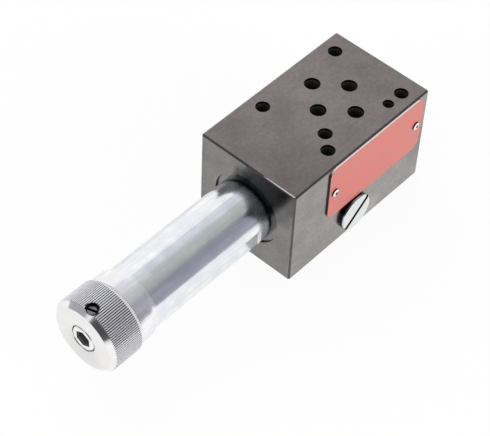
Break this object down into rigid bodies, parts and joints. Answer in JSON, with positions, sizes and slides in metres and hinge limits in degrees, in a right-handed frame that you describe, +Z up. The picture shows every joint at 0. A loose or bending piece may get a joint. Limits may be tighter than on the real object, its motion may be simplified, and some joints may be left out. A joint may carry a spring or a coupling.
{
  "type": "hydraulic sandwich valve",
  "caption": "Sandwich-plate pressure relief valve block with through ports and a screw-in cartridge set by a knurled hand knob.",
  "frame": {"origin": "middle of the mounting bolt pattern, on the bottom mounting face", "axes": "+Z up, from the bottom mounting face to the top mounting face; the knob points along -X and the name plate faces -Y"},
  "size_m": [0.156, 0.0466, 0.0448],
  "materials": {
    "body_steel": "machined, grey phosphate",
    "seal_rubber": "nitrile seal ring",
    "hardened_steel": "hardened and ground",
    "backup_ptfe": "white plastic",
    "spring_steel": "spring wire",
    "zinc_barrel": "bright zinc plate",
    "zinc_cap": "bright zinc plate",
    "zinc_spindle": "bright zinc plate",
    "knob_metal": "satin, straight knurl",
    "screw_steel": "blackened",
    "plug_zinc": "bright zinc plate",
    "plate_red": "red anodised aluminium",
    "rivet_metal": "bright"
  },
  "bodies": {
    "block": {"valve_body": "body_steel", "port_o_rings": "seal_rubber", "cartridge_sleeve": "hardened_steel", "sleeve_o_ring": "seal_rubber", "sleeve_backup_ring": "backup_ptfe", "valve_seat": "hardened_steel", "spring_housing": "zinc_barrel", "housing_o_ring": "seal_rubber", "end_cap": "zinc_cap", "gauge_plug": "plug_zinc", "plug_o_ring": "seal_rubber", "name_plate": "plate_red", "plate_rivets": "rivet_metal", "pressure_spring": "spring_steel"},
    "feed_plate": {"spindle_spring_plate": "hardened_steel"},
    "knob": {"adjusting_knob": "knob_metal", "adjusting_spindle": "zinc_spindle", "knob_set_screw": "screw_steel", "spindle_o_ring": "seal_rubber"},
    "poppet_group": {"poppet": "hardened_steel", "poppet_spring_plate": "hardened_steel"}
  },
  "joints": [
    {"name": "spindle_feed", "type": "slide", "parent": "block", "child": "feed_plate", "axis": [1, 0, 0], "range_m": [-0.005, 0], "deforming": ["pressure_spring"]},
    {"name": "knob_turn", "type": "hinge", "parent": "feed_plate", "child": "knob", "pos_m": [-0.12, -0.00025, 0.0228], "axis": [1, 0, 0], "range_deg": [-1800, 0]},
    {"name": "poppet_lift", "type": "slide", "parent": "block", "child": "poppet_group", "axis": [-1, 0, 0], "range_m": [0, 0.0015], "stiffness_N_per_m": 28000, "springref_m": -0.0005}
  ],
  "couplings": [
    {"joint": "spindle_feed", "follows": "knob_turn", "m_per_rad": 0.00015915}
  ]
}
